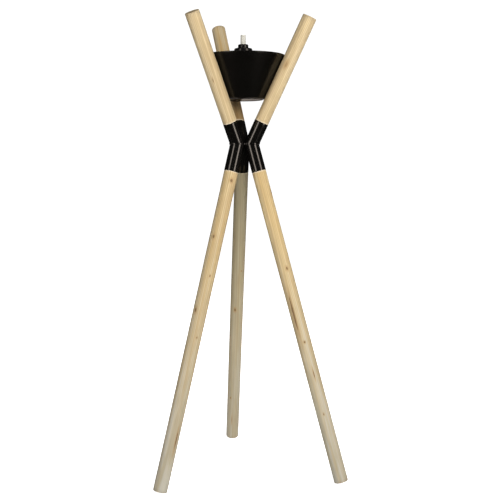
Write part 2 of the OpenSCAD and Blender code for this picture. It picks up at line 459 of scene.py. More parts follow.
def grey_along(tree, colour, grain, along, grey_from, grey_most, reach):
    """Greys the wood along the pole, further along some streaks than along others."""
    drift = maths(tree, "MULTIPLY_ADD", grain["Streaks"], 0.9, maths(tree, "SUBTRACT", along, 0.45))
    grey = maths(tree, "MULTIPLY", smooth_step(tree, drift, grey_from, reach + 0.1), grey_most)
    patches = smooth_step(tree, grain["Patches"], 0.35, 0.65)
    greyed = blend_colour(tree, patches, (*silver_grey, 1), (*olive_grey, 1))
    return blend_colour(tree, grey, colour, greyed)


def shade_near_hub(tree, colour, grain, along, socket, oil):
    """Painted shade: darkens the wood next to the socket, for the shadow that falls there, and
    reaches further along some streaks than along others.
    """
    shade_length, strength, shade_colour = oil
    shade_run = maths(tree, "MULTIPLY_ADD", grain["Streaks"], 0.10, along)
    shaded = smooth_step(tree, shade_run, socket + shade_length, socket)
    return lay(tree, colour, shaded, strength, shade_colour)


def mark_ends(tree, colour, grain, along, socket, reach, rim):
    """Soil in the cut end, and a pale ring beside the socket."""
    cut_end = smooth_step(tree, along, reach - 10 * MM, reach - 0.5 * MM)
    soil = maths(tree, "MULTIPLY", cut_end, maths(tree, "ADD", grain["Patches"], 0.1))
    colour = lay(tree, colour, soil, 0.55, end_soil)
    ragged = maths(tree, "MULTIPLY_ADD", grain["Streaks"], 4 * MM, along)
    pale_ring = smooth_step(tree, ragged, socket + 5.8 * MM, socket + 3.2 * MM)
    return lay(tree, colour, pale_ring, rim, ring_cream)


print("the wood runs from pale", pale, "to the heart of a knot", knot_heart)

# %% [markdown]
# ## One finish for each pole
# No two poles look alike, so each has its own pith line, tone and knots. A knot is given as
# a person would mark it on the bench: its bearing round the pole in degrees, its distance
# from the knee in millimetres, and its size. The back leg and the back arm are darker near
# the hub than the rest: painted shade, for the shadow of the hub, the front legs and the bowl.

# %% The finish of each pole


def pole_wood(name, pith, lean, limb, grey, tone, knots=(), rim=0.4, oil=None, heart=0.9):
    """pith is in mm and lean in mm per metre; grey is where the greying starts and its most."""
    material, tree, shader, point = new_material(name)
    socket, reach = limb
    grain = put_group(tree, wood_grain, {
        "Point": point, "Pith": (pith[0] * MM, pith[1] * MM, 0),
        "Lean": (lean[0] * MM, lean[1] * MM, 0),
    })
    along = put(tree, "ShaderNodeSeparateXYZ", {0: point}).outputs[2]
    fibre = smooth_step(tree, grain["Fibres"], 0.35, 0.75)
    colour = grain_colour(tree, grain, tone)
    colour = lay(tree, colour, fibre, 0.34, fibre_brown)
    colour = lay(tree, colour, grain["Pores"], 0.3, pore_brown)
    colour = grey_along(tree, colour, grain, along, *grey, reach)
    # Painted shade: the back leg is darkened near the hub for the shadow of the hub and the front
    # legs, and the back arm for the shadow of the bowl.
    if oil:
        colour = shade_near_hub(tree, colour, grain, along, socket, oil)
    colour = mark_ends(tree, colour, grain, along, socket, reach, rim)
    dents = maths(tree, "MULTIPLY", grain["Patches"], 0.3)
    for bearing, height, size in knots:
        centre = around(bearing, pole_r - 0.1 * MM, height * MM)
        oval = tuple(v * MM for v in size)
        mark = put_group(tree, knot, {"Point": point, "Centre": centre, "Size": oval})
        colour = lay(tree, colour, mark["Halo"], 0.6, knot_halo)
        colour = lay(tree, colour, mark["Heart"], heart, knot_heart)
        dents = maths(tree, "ADD", dents, mark["Heart"])
    tree.links.new(colour, shader.inputs["Base Color"])
    rough = maths(tree, "ADD", 0.52, maths(tree, "MULTIPLY", fibre, 0.16))
    rough = maths(tree, "SUBTRACT", rough, maths(tree, "MULTIPLY", grain["Rings"], 0.07))
    tree.links.new(rough, shader.inputs["Roughness"])
    relief = maths(tree, "SUBTRACT", maths(tree, "MULTIPLY", grain["Rings"], 0.6), fibre)
    relief = maths(tree, "SUBTRACT", relief, maths(tree, "MULTIPLY", grain["Pores"], 1.2))
    relief = maths(tree, "SUBTRACT", relief, dents)
    add_bump(tree, shader, 0.55, 0.12 * MM, relief)
    shader.inputs["Specular IOR Level"].default_value = 0.35
    return material


leg_limb, arm_limb = (leg_socket, leg_reach), (arm_socket, arm_reach)
leg_greying, arm_greying = (0.10, 0.95), (0.45, 0.3)
# The back leg's and the back arm's tones are darker than the others: painted shade, for the back
# poles stand in the shadow of the hub, the front legs and the bowl.
leg_tone, right_leg_tone, back_leg_shaded_tone = (0.84, 0.85, 0.85), (0.91, 0.92, 0.88), (0.62, 0.68, 0.70)
arm_tone, back_arm_shaded_tone = (0.95, 0.925, 0.83), (0.78, 0.76, 0.70)
# Painted shadow colours near the hub: the back leg's under the hub and the front legs, the back
# arm's under the bowl.
back_leg_shadow, bowl_shadow_brown = (0.17, 0.155, 0.105), (0.21, 0.125, 0.05)
wood = {
    "leg_left": pole_wood(
        "leg_wood_left", (31, 12), (6, -4), leg_limb, leg_greying, leg_tone,
        [(107, 94, (4, 4, 5)), (150, 236.5, (3, 3, 5)), (108, 332, (1.6, 1.6, 3)),
         (166, 420, (2.8, 3, 7)), (103, 484, (1.6, 1.6, 2.4)), (83, 735, (2.2, 2.2, 26))]),
    "leg_right": pole_wood(
        "leg_wood_right", (-18, 34), (-5, 5), leg_limb, leg_greying, right_leg_tone,
        [(176, 129, (2, 3, 10)), (230, 319, (3, 2.6, 5)), (275, 430, (3.2, 2.2, 52)),
         (246, 505, (2.4, 2.4, 3)), (240, 587, (1.4, 1.4, 13)), (246, 688, (1.3, 1.3, 3))]),
    "leg_back": pole_wood(
        "leg_wood_back", (8, 30), (4, 6), leg_limb, (-0.05, 0.75), back_leg_shaded_tone,
        [(337, 339.5, (1.6, 1.6, 2)), (23, 453, (3, 3.2, 6)), (38, 729, (1.6, 1.6, 3)),
         (18, 799, (0.9, 0.9, 12))],
        rim=0.08, oil=(0.55, 0.80, back_leg_shadow)),
    "arm_left": pole_wood(
        "arm_wood_left", (-26, 20), (10, -12), arm_limb, arm_greying, arm_tone,
        [(29, 171, (1, 1, 6))]),
    "arm_right": pole_wood(
        "arm_wood_right", (22, 27), (-12, 8), arm_limb, arm_greying, arm_tone,
        [(267, 208.5, (3.8, 3, 8.5))], heart=0.35),
    "arm_back": pole_wood(
        "arm_wood_back", (12, -30), (10, 10), arm_limb, (0.15, 0.45), back_arm_shaded_tone,
        rim=0.35, oil=(0.24, 0.95, bowl_shadow_brown)),
}
print("wood finishes:", sorted(wood))

# %% [markdown]
# ## Black paint
# The hub is glossy black, the bowl is a satin powder coat and the burner is a black enamel.
# All three are thin films over steel: they have the faint waves called orange peel, they
# rub through on edges, dust settles on what faces up, and hands leave broad smears. One
# group makes those four masks, and each finish sets how strong they are.

# %% Paint film group


def paint_film_group():
    tree, given, result = new_group(
        "paint_film",
        {"Point": (VECTOR, None), "Peel Scale": (FLOAT, 900.0)},
        {"Peel": (FLOAT, None), "Rubbed": (FLOAT, None), "Dust": (FLOAT, None),
         "Smears": (FLOAT, None)},
    )
    point = given["Point"]
    peel = put(tree, "ShaderNodeTexNoise",
               {"Vector": point, "Scale": given["Peel Scale"], "Detail": 2.0}).outputs[0]
    tree.links.new(peel, result["Peel"])
    wear_and_shade = put(tree, "ShaderNodeAttribute", attribute_name="wear_and_shade").outputs["Fac"]
    ragged = speckle(tree, point, 350.0, 5.0, 0.7)
    rubbed = smooth_step(tree, maths(tree, "ADD", wear_and_shade, ragged), 1.55, 1.68)
    tree.links.new(rubbed, result["Rubbed"])
    facing = put(tree, "ShaderNodeSeparateXYZ",
                 {0: put(tree, "ShaderNodeNewGeometry").outputs["Normal"]}).outputs[2]
    settled = maths(tree, "MULTIPLY", smooth_step(tree, facing, 0.25, 0.95),
                    smooth_step(tree, speckle(tree, point, 60.0, 6.0, 0.7), 0.35, 0.75))
    tree.links.new(settled, result["Dust"])
    smears = speckle(tree, vectors(tree, "MULTIPLY", point, (18, 18, 30)), 1.0, 4.0, 0.6)
    tree.links.new(smears, result["Smears"])
    return tree


paint_film = paint_film_group()
print("paint film group:", len(paint_film.nodes), "nodes")

# %% [markdown]
# ## Three black finishes
# The blacks differ in shine, in the size of their orange peel and in a trace of colour: the
# hub's gloss is warm, the burner's enamel is cold. A true black would hide their shape, so
# a faint smear and a little dust stay visible on each.

# %% Black finishes
dust_grey, bare_steel = (0.17, 0.155, 0.13), (0.16, 0.155, 0.15)


def black_paint(name, shade, gloss, peel_scale, peel_depth, dust=0.25, shine=0.5):
    """gloss is the roughness of clean paint, and shine is its specular level."""
    material, tree, shader, point = new_material(name)
    film = put_group(tree, paint_film, {"Point": point, "Peel Scale": peel_scale})
    smeared = tuple(c * 1.7 for c in shade)
    colour = lay(tree, (*shade, 1), film["Smears"], 0.5, smeared)
    colour = lay(tree, colour, film["Dust"], dust, dust_grey)
    colour = lay(tree, colour, film["Rubbed"], 0.7, bare_steel)
    tree.links.new(colour, shader.inputs["Base Color"])
    rough = maths(tree, "ADD", gloss, maths(tree, "MULTIPLY", film["Smears"], 0.03))
    rough = maths(tree, "ADD", rough, maths(tree, "MULTIPLY", film["Dust"], 0.3 * dust + 0.1))
    rough = maths(tree, "ADD", rough, maths(tree, "MULTIPLY", film["Rubbed"], 0.15))
    tree.links.new(rough, shader.inputs["Roughness"])
    tree.links.new(maths(tree, "MULTIPLY", film["Rubbed"], 0.8), shader.inputs["Metallic"])
    add_bump(tree, shader, 0.4, peel_depth, film["Peel"])
    shader.inputs["Specular IOR Level"].default_value = shine
    return material


warm_black, soft_black, cold_black = (
    (0.0026, 0.0024, 0.0021), (0.0018, 0.0016, 0.0013), (0.0032, 0.0032, 0.0042)
)
hub_paint = black_paint("hub_gloss_black", warm_black, 0.14, 260.0, 0.006 * MM, dust=0.1)
bowl_paint = black_paint("bowl_satin_black", soft_black, 0.24, 700.0, 0.006 * MM, shine=0.30)
burner_paint = black_paint("burner_black_enamel", cold_black, 0.2, 500.0, 0.01 * MM, shine=0.35)
print("black finishes:", hub_paint.name, bowl_paint.name, burner_paint.name)

# %% [markdown]
# ## Glass fibre, zinc and cork
# The wick is braided from bundles of fine glass yarn, which scatter light and look chalky
# white. The hidden bolts and plugs are zinc plated, with a cloudy, slightly rough shine. The
# washer under the cap is pressed cork bound with rubber.

# %% Wick, zinc and cork materials


def glass_fibre():
    material, tree, shader, point = new_material("glass_fibre_wick")
    threads = speckle(tree, vectors(tree, "MULTIPLY", point, (2600, 2600, 900)), 1.0, 2.0)
    soot = speckle(tree, point, 120.0, 3.0)
    colour = blend_colour(tree, threads, (0.60, 0.585, 0.525, 1), (0.71, 0.70, 0.65, 1))
    # Painted shade: the gaps between the braid's strands and its hollow cut end are darkened.
    gap_shade = put(tree, "ShaderNodeAttribute", attribute_name="wear_and_shade").outputs["Fac"]
    colour = lay(tree, colour, gap_shade, 0.6, (0.30, 0.285, 0.25))
    colour = lay(tree, colour, soot, 0.2, (0.55, 0.5, 0.4))
    tree.links.new(colour, shader.inputs["Base Color"])
    tree.links.new(maths(tree, "ADD", 0.6, maths(tree, "MULTIPLY", threads, 0.2)),
                   shader.inputs["Roughness"])
    add_bump(tree, shader, 0.5, 0.1 * MM, threads)
    return material


def zinc():
    material, tree, shader, point = new_material("zinc_plate")
    cloud = speckle(tree, point, 400.0, 4.0, 0.7)
    colour = blend_colour(tree, cloud, (0.55, 0.56, 0.58, 1), (0.72, 0.72, 0.72, 1))
    tree.links.new(colour, shader.inputs["Base Color"])
    tree.links.new(maths(tree, "ADD", 0.28, maths(tree, "MULTIPLY", cloud, 0.2)),
                   shader.inputs["Roughness"])
    shader.inputs["Metallic"].default_value = 1.0
    add_bump(tree, shader, 0.3, 0.05 * MM, cloud)
    return material


def cork():
    material, tree, shader, point = new_material("cork_washer")
    texture = put(tree, "ShaderNodeTexVoronoi", {"Vector": point, "Scale": 900.0})
    grains = texture.outputs["Distance"]
    colour = blend_colour(tree, grains, (0.42, 0.28, 0.16, 1), (0.2, 0.12, 0.07, 1))
    tree.links.new(colour, shader.inputs["Base Color"])
    shader.inputs["Roughness"].default_value = 0.85
    add_bump(tree, shader, 0.6, 0.2 * MM, grains)
    return material


wick_finish, zinc_finish, cork_finish = glass_fibre(), zinc(), cork()
print("small finishes:", wick_finish.name, zinc_finish.name, cork_finish.name)

# %% [markdown]
# ## The poles
# Each pole is turned from a square blank, so it is nearly round, but the tool leaves slow
# ripples and the wood moves as it dries. A bolt hole and a turned tenon are at the socket
# end. The free end is cut square, and its rim is eased by hand. The mesh is made of rings
# along the pole: the points drift by a few tenths of a millimetre, always inwards. On a leg
# the lowest points are pressed flat to the ground, as the worn foot is.

# %% The outline of a pole
bolt_hole_r, bolt_hole_depth = 4.05 * MM, 33 * MM
tenon_bevel, shoulder_round, shoulder_step = 1 * MM, 0.9 * MM, 0.3 * MM
rim_ease = 1.2 * MM
row_height = 5 * MM


def pole_outline(socket, tenon, reach):
    """Radius and height down one side: hole, tenon, shoulder, shaft, eased rim, end grain."""
    low, ease = socket - tenon, rim_ease
    side = [(bolt_hole_r * k / 2, low + bolt_hole_depth) for k in (0.02, 1, 2)]
    side += [(bolt_hole_r, low), (tenon_r - tenon_bevel, low), (tenon_r, low + tenon_bevel)]
    side += [(tenon_r, socket - shoulder_step), (pole_r - shoulder_round, socket)]
    side += [(pole_r - 0.25 * MM, socket + shoulder_step), (pole_r, socket + 1 * MM)]
    shaft = reach - ease - socket - 3 * MM
    rows = int(shaft / row_height)
    side += [(pole_r, socket + 2 * MM + shaft * k / rows) for k in range(rows + 1)]
    side += [(x, z) for x, z, _ in arc(pole_r - ease, reach - ease, ease, 0, 90)]
    side += [(pole_r * k / 8, reach) for k in (7, 6, 5, 4, 3, 2, 1, 0.02)]
    return side


limbs = {"leg": (leg_socket, leg_tenon, leg_reach), "arm": (arm_socket, arm_tenon, arm_reach)}
print("rings on a leg:", len(pole_outline(*limbs["leg"])))

# %% [markdown]
# The outline is turned round the pole's own axis. A perfect cylinder reads as plastic, so
# the radius wanders a little: a slow three-sided swelling from drying, and dents a few
# centimetres long. A second noise roughens the sawn end.

# %% Build the poles
swelling, dent, saw_mark = 0.16, 0.22, 0.12 * MM


def build_pole(kind, side, seed):
    socket, _, reach = limbs[kind]
    place = limb_frame(kind, side)
    steps = 72
    rings, wear_and_shade = [], []
    for r, z in pole_outline(*limbs[kind]):
        ring = []
        on_shaft = smooth_between(z, socket, socket + 20 * MM) if r > tenon_r else 0
        for k in range(steps):
            a = math.tau * k / steps
            drift = swelling * (1 + math.sin(3 * a + 2.3 * seed + z * 9)) / 2
            spot = Vector((math.cos(a), math.sin(a) + seed * 7, z * 28))
            drift += dent * abs(noise.noise(spot))
            radius = r - on_shaft * drift * MM
            saw = saw_mark * noise.noise(Vector((r * 300, a, seed))) if z >= reach else 0
            ring.append(Vector((radius * math.cos(a), radius * math.sin(a), z - abs(saw))))
            wear_and_shade.append(1.0 if z > reach - 1 * MM and r > pole_r - rim_ease else 0.0)
        rings.append(ring)
    points, faces = skin(rings)
    if kind == "leg":
        back = place.inverted()
        for i, p in enumerate(points):
            world = place @ p
            if world.z < 0:
                points[i] = back @ Vector((world.x, world.y, 0))
    piece = finish_mesh(f"{kind}_pole_{side}", points, faces, wear_and_shade, sharp=50)
    piece.matrix_world = place
    fit_out(piece, f"{kind}_{side}", "stand", wood[f"{kind}_{side}"])


for number, side in enumerate(SIDES):
    build_pole("leg", side, 1 + number)
for number, side in enumerate(SIDES):
    build_pole("arm", side, 4 + number)

# %% [markdown]
# ## The hub's sockets
# Each knee of the hub is two lengths of steel tube, cut at a slant and welded to a flat
# plate from below and from above. A tube's slanted end is found by following each line
# along the wall until it meets the plate, which gives a clean edge with no boolean. Where
# two neighbours would run into each other they are ground flat on the plane between them.

# %% Build the sockets
plate_low, plate_high = hub_z - plate_t / 2, hub_z + plate_t / 2
sector_gap = 0.05 * MM
tube_lip = 0.45 * MM


def keep_in_sector(point, side):
    """Presses a point onto the two planes that part a knee from its neighbours."""
    for way in (-150, 150):
        normal = around(nominal[side] + knee_turn + way, 1.0)
        over = point.dot(normal) + sector_gap
        if over > 0:
            point = point - normal * over
    return point


def build_socket(kind, side):
    place = limb_frame(kind, side)
    length = leg_socket if kind == "leg" else arm_socket
    level = plate_low if kind == "leg" else plate_high
    axis = place.to_3x3() @ Vector((0, 0, 1))
    lip, end = tube_lip, length - tube_lip
    wall = [(tube_r, None, 0.0)]
    wall += [(tube_r, end * k / 12, 0.0) for k in range(8, 13)]
    wall += arc(tube_r - lip, end, lip, 15, 90, 5, 0.9)
    wall += arc(tube_bore + lip, end, lip, 90, 180, 5, 0.5)
    wall += [(tube_bore, length * k / 12, 0.0) for k in (10, 8)]
    wall += [(tube_bore, None, 0.0)]
    steps = 128
    rings, wear_and_shade = [], []
    for k in range(steps):
        a = math.tau * k / steps
        ring = []
        for r, along, w in wall:
            foot = place @ Vector((r * math.cos(a), r * math.sin(a), 0))
            cut = (level - foot.z) / axis.z
            here = foot + axis * (cut if along is None else max(along, cut))
            ring.append(keep_in_sector(here, side))
            wear_and_shade.append(w)
        rings.append(ring)
    points, faces = skin(rings, loop_rings=True)
    back = place.inverted()
    piece = finish_mesh(f"{kind}_tube_{side}", [back @ p for p in points], faces, wear_and_shade, sharp=35)
    piece.matrix_world = place
    fit_out(piece, f"{kind}_socket_{side}", "stand", hub_paint)


for side in SIDES:
    build_socket("leg", side)
for side in SIDES:
    build_socket("arm", side)

# %% [markdown]
# ## The hub plate
# The plate is laser cut, with a lobe under each knee and a flat between them. It is copied
# from the design's own mesh and then bevelled, because a cut edge is always dressed before
# it is painted. Drawing the outline again would only be a second chance to get it wrong.

# %% Build the plate
plate_edge = 0.35 * MM


def build_plate():
    frame_plate = frame["nodes"]["hub_plate"]
    piece = frame_plate.copy()
    piece.data = frame_plate.data.copy()
    piece.name = "hub_centre_plate"
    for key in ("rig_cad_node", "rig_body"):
        if key in piece:
            del piece[key]
    piece.parent = None
    bpy.context.scene.collection.objects.link(piece)
    shape = bmesh.new()
    shape.from_mesh(piece.data)
    bmesh.ops.remove_doubles(shape, verts=shape.verts, dist=1e-6)
    bmesh.ops.dissolve_limit(shape, angle_limit=math.radians(1), verts=shape.verts,
                             edges=shape.edges)
    rim = [e for e in shape.edges if len(e.link_faces) == 2 and e.calc_face_angle() > 1.0]
    bmesh.ops.bevel(shape, geom=rim, offset=plate_edge, segments=3, affect="EDGES", profile=0.5)
    bmesh.ops.recalc_face_normals(shape, faces=shape.faces)
    shape.to_mesh(piece.data)
    shape.free()
    piece.data.materials.clear()
    piece.data.shade_smooth()
    piece.data.set_sharp_from_angle(angle=math.radians(40))
    fit_out(piece, "hub_plate", "stand", hub_paint)


build_plate()

# %% [markdown]
# ## The weld beads
# A fillet weld runs around each knee where the tube meets the plate. A bead is a row of
# small overlapping ripples, so the mesh is a thin rope along the seam whose thickness
# swells with each ripple, and which sinks into the steel at both ends.

# %% Build the weld beads
bead_r, bead_tip = 0.7 * MM, 0.02 * MM
bead_sink, bead_reach = 0.25 * MM, math.radians(118)


def build_weld(kind, side):
    place = limb_frame(kind, side)
    axis = place.to_3x3() @ Vector((0, 0, 1))
    level = plate_low if kind == "leg" else plate_high
    sink = bead_sink if kind == "leg" else -bead_sink
    steps, round_steps = 150, 10
    rings = []
    for k in range(steps + 1):
        u = 2 * k / steps - 1
        a = bead_reach * u + (math.pi if kind == "leg" else 0)
        foot = place @ Vector((tube_r * math.cos(a), tube_r * math.sin(a), 0))
        seam = foot + axis * ((level - foot.z) / axis.z) + Vector((0, 0, sink))
        away = Vector((seam.x, seam.y, 0)) - around(nominal[side] + knee_turn, knee_out)
        away.z = 0
        away.normalize()
        thick = bead_r * min(1, (1 - abs(u)) * 12) + bead_tip
        thick *= 1 + 0.10 * math.sin(k * 1.3)
        rings.append([
            seam + away * thick * math.cos(t) + Vector((0, 0, thick * math.sin(t)))
            for t in (math.tau * j / round_steps for j in range(round_steps))
        ])
    points, faces = skin(rings)
    piece = finish_mesh(f"{kind}_weld_{side}", points, faces, [0.0] * len(points), sharp=80)
    piece.data.materials.append(hub_paint)
    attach(piece, "stand")
    return piece


welds = [build_weld(kind, side) for kind in ("leg", "arm") for side in SIDES]
print("welds:", len(welds))

# %% [markdown]
# ## The hidden bolts and plugs
# The poles are held by hanger bolts in threaded plugs. They are deep inside the sockets, so
# the CAD pieces stay as they are and only get their zinc finish.

# %% Finish the hidden fasteners
for hidden in ("leg_nuts", "arm_nuts", "leg_bolts", "arm_bolts"):
    node = frame["nodes"][hidden]
    node.data.materials.clear()
    node.data.materials.append(zinc_finish)
    print(hidden, "keeps its CAD shape,", len(node.data.vertices), "points")

# %% [markdown]
# ## The oil bowl
# The bowl is spun from sheet steel over a cone. Its rim is rolled inwards into a hem, its
# lower corner is rounded, and the base disc is folded onto it with a seam that hangs below.
# Every part is round, so each is one outline and one turn of the lathe. The heights come
# from the boxes of the CAD nodes.

# %% Bowl outlines
bowl_low, bowl_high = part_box("bowl_shell")
base_low, base_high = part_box("bowl_base")
rim_r, rim_z = bowl_high.x, bowl_high.z
floor_z = bowl_low.z
seam_r, seam_z = base_high.x, base_low.z
sheet = 1.2 * MM
corner = 6 * MM
hem = 1.8 * MM
tilt_deg = math.degrees(arm_splay)
slope = math.tan(arm_splay)
axis_r = 0.05 * MM


def wall_r(z):
    """Radius of the bowl's outside at a height, straight from the rim's hem."""
    centre_r = rim_r - hem
    tangent_r = centre_r + hem * math.cos(arm_splay)
    tangent_z = rim_z - hem - hem * math.sin(arm_splay)
    return tangent_r + (z - tangent_z) * slope


corner_x = wall_r(floor_z) - corner * math.tan((math.pi / 2 - arm_splay) / 2)
corner_z = floor_z + corner


def shell_outline():
    outer = [(wall_r(z), z, 0.0) for z in
             (corner_z + (rim_z - corner_z) * k / 24 for k in range(1, 23))]
    lean_in = sheet / math.cos(arm_splay)
    inner = [(r - lean_in, z, 0.0) for r, z, _ in reversed(outer)]
    rim = arc(rim_r - hem, rim_z - hem, hem, -tilt_deg, 230, 16, 0.0)
    rim = [(r, z, 0.8 if z > rim_z - 0.7 * hem else 0.1) for r, z, _ in rim]
    low = arc(corner_x, corner_z, corner, -90, -tilt_deg, 10)
    back = arc(corner_x, corner_z, corner - sheet, -tilt_deg, -90, 10)
    return [(seam_r, floor_z, 0.0), *low, *outer, *rim, *inner, *back,
            (seam_r, floor_z + sheet, 0.0)]


bowl = spin_outline("bowl_cone", shell_outline(), 192)
fit_out(bowl, "bowl_shell", "oil_bowl", bowl_paint)

# %% [markdown]
# The base is a flat disc whose edge is folded down into a rounded bead. It could be one
# piece with the cone, but a real bowl is closed by a separate disc, and the seam between
# them catches a bright line.

# %% Build the base
seam_bead, seam_ease = 0.9 * MM, 0.4 * MM


def base_outline():
    centre_r, centre_z = seam_r - seam_bead, seam_z + seam_bead
    fold_r, top = centre_r - seam_bead, floor_z + sheet
    return [
        (axis_r, floor_z, 0.0), (seam_r * 0.5, floor_z, 0.0),
        (fold_r - seam_ease, floor_z, 0.0), (fold_r, floor_z - seam_ease, 0.0),
        *arc(centre_r, centre_z, seam_bead, 180, 360, 12, 0.5),
        (seam_r, top, 0.0), (seam_r * 0.5, top, 0.0), (axis_r, top, 0.0),
    ]


base = spin_outline("bowl_bottom", base_outline(), 192)
fit_out(base, "bowl_base", "oil_bowl", bowl_paint)

# %% [markdown]
# The lid is pressed into the bowl below the rim, where it keeps the oil from splashing. A
# raised ring stiffens it. The ring is half an ellipse of points in the outline, so that it
# turns into a smooth swage and not a step.

# %% Build the lid
lid_low, lid_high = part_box("bowl_lid")
neck_low, neck_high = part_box("filler_neck")
lid_top = lid_low.z + sheet
neck_r = 18.4 * MM
swage_r, swage_half, swage_high = 62 * MM, 5 * MM, 1.5 * MM
lid_round = 2 * MM
joint_gap = 0.05 * MM


def lid_outline():
    edge = lid_high.x - (lid_high.z - lid_low.z) * slope
    swage = [(swage_r + swage_half * math.cos(math.radians(a)),
              lid_top + swage_high * math.sin(math.radians(a)), 0.15) for a in range(0, 181, 15)]
    inside = edge - sheet - lid_round
    return [
        (neck_r + joint_gap, lid_low.z, 0.0), (edge, lid_low.z, 0.0),
        (lid_high.x, lid_high.z, 0.4), (lid_high.x - sheet, lid_high.z, 0.4),
        *arc(inside, lid_top + lid_round, lid_round, -15, -90, 5), *swage,
        (neck_r + joint_gap, lid_top, 0.0),
    ]


lid = spin_outline("bowl_top", lid_outline(), 192)
fit_out(lid, "bowl_lid", "oil_bowl", bowl_paint)

# %% [markdown]
# ## The neck and its thread
# The neck is a short tube with a rolled thread. The body of the neck is spun. The thread
# could be a bump in the paint, but its outline shows when the burner is lifted out, so it
# is a low ridge of its own that climbs three millimetres a turn, and fades at both ends.

# %% Thread helpers
thread_pitch, thread_turns = 3 * MM, 2.6
ridge_root, ridge_crest, ridge_bury = 1.0 * MM, 0.25 * MM, 0.15 * MM


def thread_ridge(name, radius, depth, z_start, outward=1):
    """A helical ridge on the outside of a tube, or on its inside if outward is -1."""
    steps = int(96 * thread_turns)
    rings = []
    for k in range(steps + 1):
        a = math.tau * thread_turns * k / steps
        fade = min(1, k / 16, (steps - k) / 16)
        crest = radius + depth * fade * outward
        z = z_start + thread_pitch * a / math.tau
        root = radius - ridge_bury * outward
        section = [(root, -ridge_root), (crest, -ridge_crest),
                   (crest, ridge_crest), (root, ridge_root)]
        rings.append([Vector((r * math.cos(a), r * math.sin(a), z + dz)) for r, dz in section])
    points, faces = skin(rings)
    return finish_mesh(name, points, faces, [0.0] * len(points), sharp=30)


def join(main, *others):
    """Joins other meshes into the first one, which keeps its name."""
    with bpy.context.temp_override(
        active_object=main, selected_editable_objects=[main, *others], object=main
    ):
        bpy.ops.object.join()
    return main


print("the thread climbs", round(thread_pitch * thread_turns / MM, 1), "mm")

# %% Build the neck
neck_wall, neck_foot = 2 * MM, 2 * MM
lip_out, lip_in = 0.5 * MM, 0.4 * MM


def neck_outline():
    inner, flange = neck_r - neck_wall, neck_high.x
    low, top = neck_low.z, neck_high.z
    return [
        (inner, low, 0.0), (flange, low, 0.0), (flange, low + neck_foot, 0.0),
        (neck_r, low + neck_foot, 0.0), (neck_r, top - lip_out, 0.2),
        *arc(neck_r - lip_out, top - lip_out, lip_out, 0, 90, 4, 0.9),
        *arc(inner + lip_in, top - lip_in, lip_in, 90, 180, 4, 0.9),
    ]


neck = spin_outline("burner_neck", neck_outline(), 128)
neck = join(neck, thread_ridge("neck_thread", neck_r, 0.6 * MM, neck_high.z - 10.5 * MM))
fit_out(neck, "filler_neck", "oil_bowl", burner_paint)

# %% [markdown]
# ## The screw cap and its washer
# The cap has a softly rounded shoulder and a thread inside. It turns on the wick tube. The
# shoulder catches the light, so it gets more steps than the cap's other arcs.

# %% Build the cap
cap_low, cap_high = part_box("burner_cap")
gasket_low, gasket_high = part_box("cap_gasket")
tube_low, tube_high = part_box("wick_tube")
wick_low, wick_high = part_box("wick")
cap_r, cap_top = cap_high.x, cap_high.z
wick_r = wick_high.x
holder_r = wick_r + 2.4 * MM
cap_bore = neck_r + 0.9 * MM
shoulder, cap_round, cap_edge, hole_edge = 3.5 * MM, 1 * MM, 0.5 * MM, 0.4 * MM


def cap_outline():
    hole, roof = holder_r + joint_gap, gasket_high.z + joint_gap
    skirt_r, skirt_z = cap_r - cap_edge, cap_low.z + cap_edge
    return [
        (hole, roof, 0.0), (cap_bore - cap_round, roof, 0.0),
        *arc(cap_bore - cap_round, roof - cap_round, cap_round, 60, 0, 4),
        (cap_bore, cap_low.z, 0.0),
        *arc(skirt_r, skirt_z, cap_edge, -90, 0, 5, 0.6),
        (cap_r, cap_low.z + 4 * MM, 0.0), (cap_r, cap_top - shoulder, 0.0),
        *arc(cap_r - shoulder, cap_top - shoulder, shoulder, 8, 90, 12, 0.25),
        (hole + hole_edge, cap_top, 0.0), (hole, cap_top - hole_edge, 0.0),
    ]


cap = spin_outline("screw_cap", cap_outline(), 144)
cap = join(cap, thread_ridge("cap_thread", cap_bore, 0.25 * MM, cap_low.z + 1.5 * MM, -1))
fit_out(cap, "burner_cap", "cap", burner_paint)

# %% [markdown]
# The cork washer under the cap seals the neck. Its four edges are rounded, because cork
# crumbles at a sharp edge.

# %% Build the washer
washer_ease, washer_gap = 0.3 * MM, 0.3 * MM


def washer_outline():
    inner, outer = holder_r + washer_gap, gasket_high.x
    low, top, ease = gasket_low.z, gasket_high.z, washer_ease
    return [
        *arc(inner + ease, low + ease, ease, 180, 270, 3),
        *arc(outer - ease, low + ease, ease, 270, 360, 3),
        *arc(outer - ease, top - ease, ease, 0, 90, 3),
        *arc(inner + ease, top - ease, ease, 90, 180, 3),
    ]


washer = spin_outline("cork_washer", washer_outline(), 96)
fit_out(washer, "cap_gasket", "gasket", cork_finish)

# %% [markdown]
# ## The wick tube and its collar
# The collar is turned from bar, with a bevel at the top that catches the light. Below the
# cap the tube runs down into the bowl, and a bead at its lower end keeps the washer on.

# %% Build the wick tube
collar_r = tube_high.x
collar_bevel, bevel_round, collar_foot = 2 * MM, 0.5 * MM, 0.4 * MM
tube_bead = 1 * MM


